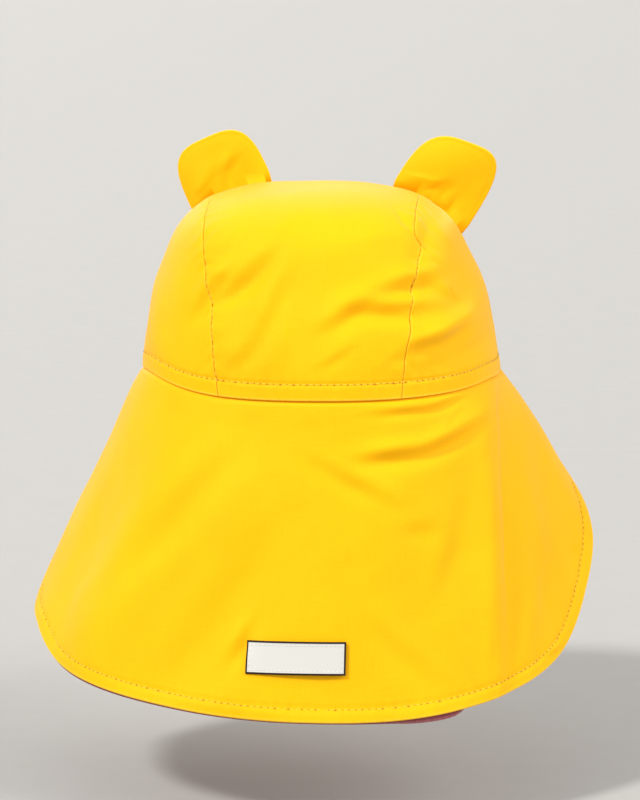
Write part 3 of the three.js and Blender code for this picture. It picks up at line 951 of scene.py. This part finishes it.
def front_peak():
    sides = 2 * graded(0.2, 0.0011) - 1
    outs = graded(PEAK_REACH, 0.0009)
    side, out = np.meshgrid(sides, outs, indexing="ij")
    level, reach = peak_point(side, out, 0 * side)
    distance = np.minimum(reach * (1 - out), (1 - np.abs(side)) * 0.1)
    sewn = 0 * side
    for row in range(PEAK_STITCH_ROWS):
        gap = reach * (1 - out) - PEAK_STITCH_START - row * PEAK_STITCH_STEP
        sewn = sewn - 0.00035 * bell(gap, 0.001)
    soft = ripple(level, 0.05, 0.0003, PEAK_SEED) * smooth(distance, 0, 0.01) * smooth(out, 0.15, 0.4)
    back = rounded_edge(distance, PEAK_ROUND)
    outer = level + vectors(0 * side, 0, np.minimum(sewn + soft, 0.001) * smooth(out, 0.05, 0.15) - back)
    inner = level + vectors(0 * side, 0, soft * 0.6 - PEAK_WALL + back)
    piece = close_wall("front_peak_cloth", outer, inner, level[..., :2], edge_wear(distance))
    dress(piece, YELLOW_CLOTH, "yellow_cloth", "peak")


def ear_piece(side, across, rise, lean, slant, tucks, seed):
    """A lightly stuffed ear: two cloth faces sewn round a squared arch, set on the crown."""
    height = EAR_RISE * rise
    half = EAR_WIDTH / 2
    angles = np.linspace(0, math.pi, 131)
    foot = np.linspace(-half, half, 47)[1:-1]
    right = np.concatenate([half * squared(np.cos(angles)), foot])
    up = np.concatenate([height * squared(np.sin(angles)), np.full(foot.shape, -EAR_SINK)])
    count = len(right)
    share = (1 - np.linspace(0, 1, 30) ** 1.35)[:, None]
    centre = height * EAR_CENTRE
    x = right[None, :] * share
    z = centre + (up[None, :] - centre) * share
    arch = (np.abs(x) / half) ** EAR_SQUARENESS + (np.maximum(z, 0) / height) ** EAR_SQUARENESS
    arch = arch ** (1 / EAR_SQUARENESS)
    body = 0.5 * EAR_PAD * np.sqrt(np.clip(1 - arch**2.2, 0, 1) * (1 - share**12))
    from_rim = (1 - share) * half
    rolled = 0.5 * EAR_HEM * np.sqrt(np.clip(1 - (1 - from_rim / 0.0012).clip(0) ** 2, 0, 1))
    swell = np.maximum(body, rolled) + 0 * x
    around = np.arctan2(z - centre, x)
    pucker = 0.00003 * np.sin(around * 34 + 2 * np.sin(around * 5 + seed)) * bell(from_rim - 0.0022, 0.0024)
    gathers = 0.00012 * np.sin(x / 0.0009 + seed + 70 * z + np.sin(x / 0.003)) * bell(z + 0.002, 0.007)
    place = vectors(x, 0 * x, z)
    sewn = 1 - share**8
    tuck = fold_height(tucks, tuck_shape, x, z, EAR_WIDTH, EAR_WIDTH)
    slanted = z + math.tan(math.radians(slant)) * x * np.maximum(z / height, 0)
    faces = []
    for face in (1, -1):
        loose = ripple(place + face, 0.024, 0.0003, EAR_SEED + seed + face) * (1 - share**4)
        thick = swell + (pucker + gathers) * sewn + loose + tuck * (face < 0) * sewn
        faces.append(vectors(x, face * np.maximum(thick, 0.0), slanted))
    tilt = math.radians(lean)
    turned = np.array(Matrix.Rotation(tilt, 3, "Y"))
    start = meet_crown(lambda reach: vectors(across * HALF_WIDTH, EAR_FORWARD, reach), (1,))[0]
    upward = turned @ np.array([0.0, 0.0, 1.0])
    index = np.arange(len(share) * count).reshape(len(share), count)
    index = np.concatenate([index, index[:, :1]], axis=1)
    back = index + len(share) * count
    back[0] = index[0]
    front = quads(index[:-1, :-1], index[:-1, 1:], index[1:, 1:], index[1:, :-1])
    rear = quads(back[:-1, :-1], back[1:, :-1], back[1:, 1:], back[:-1, 1:])
    local = np.concatenate([face.reshape(-1, 3) for face in faces])
    cloth = np.stack([x, z], axis=-1).reshape(-1, 2)
    wear = (1 - smooth(from_rim + 0 * x, 0.0, 0.0009)).ravel()
    shell = np.concatenate([front, rear])
    made = make_piece(side + "_ear_cloth", local, shell, np.tile(cloth, (2, 1)), np.tile(wear, 2))
    settle_cloth(made)
    points = mesh_points(made.data)
    points[:, 1] += EAR_WAVE * np.sin(points[:, 0] / 0.007 - points[:, 2] / 0.012 + seed)
    points = lift_out_of_crown(points @ turned.T + start, upward)
    made.data.vertices.foreach_set("co", points.ravel())
    dress(made, YELLOW_CLOTH, "yellow_cloth", "ear_" + side)


def squared(value):
    """The outline of the ear's squared arch from the cosine or sine of an angle."""
    return np.sign(value) * np.abs(value) ** (2 / EAR_SQUARENESS)


def mesh_points(mesh):
    points = np.empty(len(mesh.vertices) * 3)
    mesh.vertices.foreach_get("co", points)
    return points.reshape(-1, 3)


def settle_cloth(piece):
    """Lets a stuffed piece swell between its sewn rim and its foot, and keeps the small creases."""
    mesh = piece.data
    start = mesh_points(mesh)
    wear = np.empty(len(mesh.vertices))
    mesh.attributes["worn"].data.foreach_get("value", wear)
    held = piece.vertex_groups.new(name="held")
    fixed = np.flatnonzero((wear > 0.5) | (start[:, 2] < SETTLE_FOOT))
    held.add(fixed.tolist(), 1.0, "REPLACE")
    cloth = piece.modifiers.new("settle", "CLOTH")
    cloth.settings.vertex_group_mass = "held"
    cloth.settings.quality = 4
    cloth.settings.mass = 0.15
    cloth.settings.tension_stiffness = 12
    cloth.settings.compression_stiffness = 12
    cloth.settings.bending_stiffness = 4.0
    cloth.settings.use_pressure = True
    cloth.settings.uniform_pressure_force = 1.0
    cloth.settings.effector_weights.gravity = 0
    cloth.collision_settings.use_collision = False
    cloth.point_cache.frame_start = 1
    cloth.point_cache.frame_end = SETTLE_FRAMES
    scene = bpy.context.scene
    for frame_number in range(1, SETTLE_FRAMES + 1):
        scene.frame_set(frame_number)
    seen = piece.evaluated_get(bpy.context.evaluated_depsgraph_get())
    moved = mesh_points(seen.data) - start
    reach = np.linalg.norm(moved, axis=1, keepdims=True)
    moved = moved * np.minimum(1, SETTLE_CAP / np.maximum(reach, 1e-9))
    piece.modifiers.remove(cloth)
    scene.frame_set(1)
    mesh.vertices.foreach_set("co", (start + moved).ravel())
    mesh.update()


def lift_out_of_crown(points, upward):
    """Slides points that lie inside the crown up to just above its outer face."""
    low, high = np.zeros(len(points)), np.full(len(points), 0.05)
    for _ in range(28):
        middle = (low + high) / 2
        inside = crown_level(points + upward * middle[:, None]) < 0
        low, high = np.where(inside, middle, low), np.where(inside, high, middle)
    return points + upward * np.where(low > 0, high - EAR_SEAT, 0)[:, None]


def stitch_tree():
    """A node tree that lays short rounded stitches along a path."""
    tree = bpy.data.node_groups.new("stitches along a path", "GeometryNodeTree")
    face = tree.interface
    face.new_socket("Path", in_out="INPUT", socket_type="NodeSocketGeometry")
    for name in ("Pitch", "Length", "Thickness", "Shift"):
        face.new_socket(name, in_out="INPUT", socket_type="NodeSocketFloat")
    face.new_socket("Finish", in_out="INPUT", socket_type="NodeSocketMaterial")
    face.new_socket("Stitches", in_out="OUTPUT", socket_type="NodeSocketGeometry")

    def add(kind, settings=None, **inputs):
        node = tree.nodes.new(kind)
        for key, value in (settings or {}).items():
            setattr(node, key, value)
        for key, value in inputs.items():
            socket = node.inputs[key.replace("_", " ")]
            if isinstance(value, bpy.types.NodeSocket):
                tree.links.new(value, socket)
            else:
                socket.default_value = value
        return node

    given = add("NodeGroupInput").outputs
    spaced = add("GeometryNodeResampleCurve", {"mode": "LENGTH"}, Curve=given["Path"], Length=given["Pitch"])
    tangent = add("GeometryNodeInputTangent").outputs["Tangent"]
    shifted = add("ShaderNodeVectorMath", {"operation": "SCALE"}, Vector=tangent, Scale=given["Shift"])
    placed = add(
        "GeometryNodeSetPosition", Geometry=spaced.outputs["Curve"], Offset=shifted.outputs["Vector"]
    )
    turned = add("FunctionNodeAlignRotationToVector", {"axis": "X"}, Vector=tangent)
    ball = add("GeometryNodeMeshUVSphere", Segments=8, Rings=6, Radius=0.5)
    size = add("ShaderNodeCombineXYZ", X=given["Length"], Y=given["Thickness"], Z=given["Thickness"])
    laid = add(
        "GeometryNodeInstanceOnPoints",
        Points=placed.outputs["Geometry"],
        Instance=ball.outputs["Mesh"],
        Rotation=turned.outputs["Rotation"],
        Scale=size.outputs["Vector"],
    )
    real = add("GeometryNodeRealizeInstances", Geometry=laid.outputs["Instances"])
    smoothed = add("GeometryNodeSetShadeSmooth", Geometry=real.outputs["Geometry"])
    coloured = add("GeometryNodeSetMaterial", Geometry=smoothed.outputs["Geometry"], Material=given["Finish"])
    add("NodeGroupOutput", Stitches=coloured.outputs["Geometry"])
    return tree


STITCH_TREE = stitch_tree()


def sew(name, paths, pitch, length, thickness, shift, finish, slot):
    """Lays stitches along paths of points and bakes them to a mesh."""
    curve = bpy.data.curves.new(name + "_path", "CURVE")
    curve.dimensions = "3D"
    for path in paths:
        spline = curve.splines.new("POLY")
        spline.points.add(len(path) - 1)
        spline.points.foreach_set("co", np.concatenate([path, np.ones((len(path), 1))], axis=1).ravel())
    guide = put_in_scene(name + "_guide", curve)
    modifier = guide.modifiers.new("stitches", "NODES")
    modifier.node_group = STITCH_TREE
    values = {"Pitch": pitch, "Length": length, "Thickness": thickness, "Shift": shift, "Finish": finish}
    for item in STITCH_TREE.interface.items_tree:
        if item.in_out == "INPUT" and item.name in values:
            modifier[item.identifier] = values[item.name]
    guide.update_tag()
    seen = guide.evaluated_get(bpy.context.evaluated_depsgraph_get())
    mesh = bpy.data.meshes.new_from_object(seen)
    bpy.data.objects.remove(guide)
    dress(put_in_scene(name, mesh), finish, slot)


def sewn_line(name, paths, slot="yellow_cloth"):
    """A row of stitches with a dark bead between each two: painted shade standing in for each needle hole."""
    sew(name, paths, STITCH_PITCH, STITCH_LENGTH, THREAD, 0.0, YELLOW_THREAD, slot)
    # Dark beads between the stitches are painted shade of the needle holes
    between, length = STITCH_PITCH / 2, HOLE_SHADE_SIZE * 1.3
    sew(name + "_holes", paths, STITCH_PITCH, length, HOLE_SHADE_SIZE, between, NEEDLE_SHADE, slot)


def band_stitches():
    turns = np.linspace(-180, 180, 1440)
    angle = np.radians(turns)
    edge, _ = band_edge(turns)
    base = cast_to_crown(vectors(edge[:, 0], edge[:, 1], BAND_HEIGHT + 0 * angle))
    sewn_line("band_stitches", [crown_skin(base, -band_relief(base) - THREAD * 0.2)])


def seam_stitches():
    paths = []
    for side in (-1, 1):
        arch = np.linspace(0.004, 0.996, 400)
        base = arch_point(np.full(arch.shape, float(side)), arch, 0.0)
        paths.append(crown_skin(base, SEAM_DEPTH + 0 * arch))
    sew("seam_stitches", paths, STITCH_PITCH, STITCH_LENGTH * 0.8, THREAD, 0.0, YELLOW_THREAD, "yellow_cloth")


def hem_stitches():
    turn = np.linspace(-FLAP_REACH + 4, FLAP_REACH - 4, 900)
    end = hem_fall(turn)
    _, slope = hem_distance(turn, end, end)
    fall = end - HEM_WIDTH / np.cos(slope)
    relief, _ = flap_relief(turn, fall, end, FLAP_SEED)
    sewn_line("hem_stitches", [flap_point(turn, fall, -relief - THREAD_LIFT)])


def label_stitches():
    half_width = LABEL_WIDTH / 2 - LABEL_STITCH_INSET
    half_height = LABEL_HEIGHT / 2 - LABEL_STITCH_INSET
    x = np.linspace(-half_width, half_width, 80)
    y = np.linspace(-half_height, half_height, 30)
    lift = GAP + LABEL_WALL + THREAD_LIFT
    loop = [(x, 0 * x + y[0]), (0 * y + x[-1], y), (x[::-1], 0 * x + y[-1]), (0 * y + x[0], y[::-1])]
    paths = [label_surface(right, down, lift + 0 * right) for right, down in loop]
    sew(
        "label_stitches", paths, LABEL_STITCH_PITCH, LABEL_STITCH_LENGTH, LABEL_THREAD, 0.0,
        WHITE_THREAD, "label_cloth",
    )


def peak_stitches():
    side = np.linspace(-0.93, 0.93, 400)
    paths = []
    for row in range(PEAK_STITCH_ROWS):
        _, reach = peak_point(side, 0 * side, 0 * side)
        out = 1 - (PEAK_STITCH_START + row * PEAK_STITCH_STEP) / reach
        keep = out > 0.12
        point, _ = peak_point(side[keep], out[keep], 0 * side[keep] - 0.0002)
        paths.append(point)
    sewn_line("peak_stitches", paths)


middle_panel()
side_panel(-1, "crown_left", "left_panel_cloth")
side_panel(1, "crown_right", "right_panel_cloth")
flap = neck_flap()
lining = flap_lining()
label_patch()
front_peak()
for seed, ear in enumerate(EARS):
    ear_piece(seed=seed, **ear)
band_stitches()
seam_stitches()
hem_stitches()
label_stitches()
peak_stitches()


def flat_size(piece):
    """The cloth's cut size: width and length of its flat outline."""
    uv = np.empty(len(piece.data.loops) * 2)
    piece.data.uv_layers["cloth"].data.foreach_get("uv", uv)
    low, high = uv.reshape(-1, 2).min(axis=0), uv.reshape(-1, 2).max(axis=0)
    return float(high[0] - low[0]), float(high[1] - low[1])


def cloth_area(start):
    """Area of the fan of cloth between a start below the band and the hem."""
    turn = np.linspace(-FLAP_REACH, FLAP_REACH, 400)
    outer, inner = FAN_RADIUS + hem_fall(turn), FAN_RADIUS + start
    return float(np.mean(outer**2 - inner**2) / 2 * FAN_SPREAD)


flat_size(flap)
cloth_area(-FLAP_TUCK)
flat_size(lining)
cloth_area(LINING_START)

# Floor, light and camera
FLOOR_DROP = 0.045
FLOOR_REACH = 60.0
CAMERA_TURN = 3.6
CAMERA_RISE = 8.0
CAMERA_DISTANCE = 1.5
CAMERA_LENS = 153.4
AIM_ASIDE = -0.0011
AIM_HEIGHT = -0.0123


def pale_floor():
    level = cad_box[0][2] - FLOOR_DROP
    mesh = bpy.data.meshes.new("pale_floor")
    signs = [(-1, -1), (1, -1), (1, 1), (-1, 1)]
    corners = [(x * FLOOR_REACH, y * FLOOR_REACH, level) for x, y in signs]
    mesh.from_pydata(corners, [], [(0, 1, 2, 3)])
    floor = put_in_scene("pale_floor", mesh)
    paint = Paint("pale floor")
    place = paint.add("ShaderNodeTexCoord", {}, out=3)
    color = paint.blend(paint.noise(place, 60.0, 4.0), rgb(0.375, 0.371, 0.362), rgb(0.4, 0.396, 0.387))
    mesh.materials.append(paint.finish(Base_Color=color, Roughness=0.8))


def soft_sun(name, towards, power, softness, color):
    """Even light from one side; towards points from the hat to the light."""
    lamp = bpy.data.lights.new(name, "SUN")
    lamp.energy, lamp.angle, lamp.color = power, math.radians(softness), color
    light = put_in_scene(name, lamp)
    light.rotation_euler = Vector(towards).to_track_quat("Z", "Y").to_euler()


def studio():
    world = bpy.data.worlds.new("studio")
    world.use_nodes = True
    sky = world.node_tree.nodes["Background"].inputs
    sky["Color"].default_value = rgb(1.0, 0.985, 0.96)
    sky["Strength"].default_value = 0.7
    bpy.context.scene.world = world
    soft_sun("key light", (-0.5, -0.5, 0.7), 2.6, 9, (1.0, 0.985, 0.96))
    soft_sun("fill light", (0.78, -0.25, 0.58), 1.65, 35, (1.0, 0.98, 0.95))
    soft_sun("front light", (-0.3, 0.9, 0.35), 0.9, 40, (1.0, 0.98, 0.95))


def camera():
    turn, rise = math.radians(CAMERA_TURN), math.radians(CAMERA_RISE)
    back = Vector((math.sin(turn) * math.cos(rise), -math.cos(turn) * math.cos(rise), math.sin(rise)))
    right = Vector((math.cos(turn), math.sin(turn), 0))
    aim = right * AIM_ASIDE + Vector((0, 0, AIM_HEIGHT))
    lens = bpy.data.cameras.new("camera")
    lens.lens, lens.sensor_width, lens.sensor_fit = CAMERA_LENS, 36.0, "AUTO"
    eye = put_in_scene("camera", lens)
    eye.location = aim + back * CAMERA_DISTANCE
    eye.rotation_euler = back.to_track_quat("Z", "Y").to_euler()
    bpy.context.scene.camera = eye


pale_floor()
studio()
camera()
bpy.context.scene.view_settings.view_transform = "Standard"
bpy.context.scene.view_settings.look = "None"
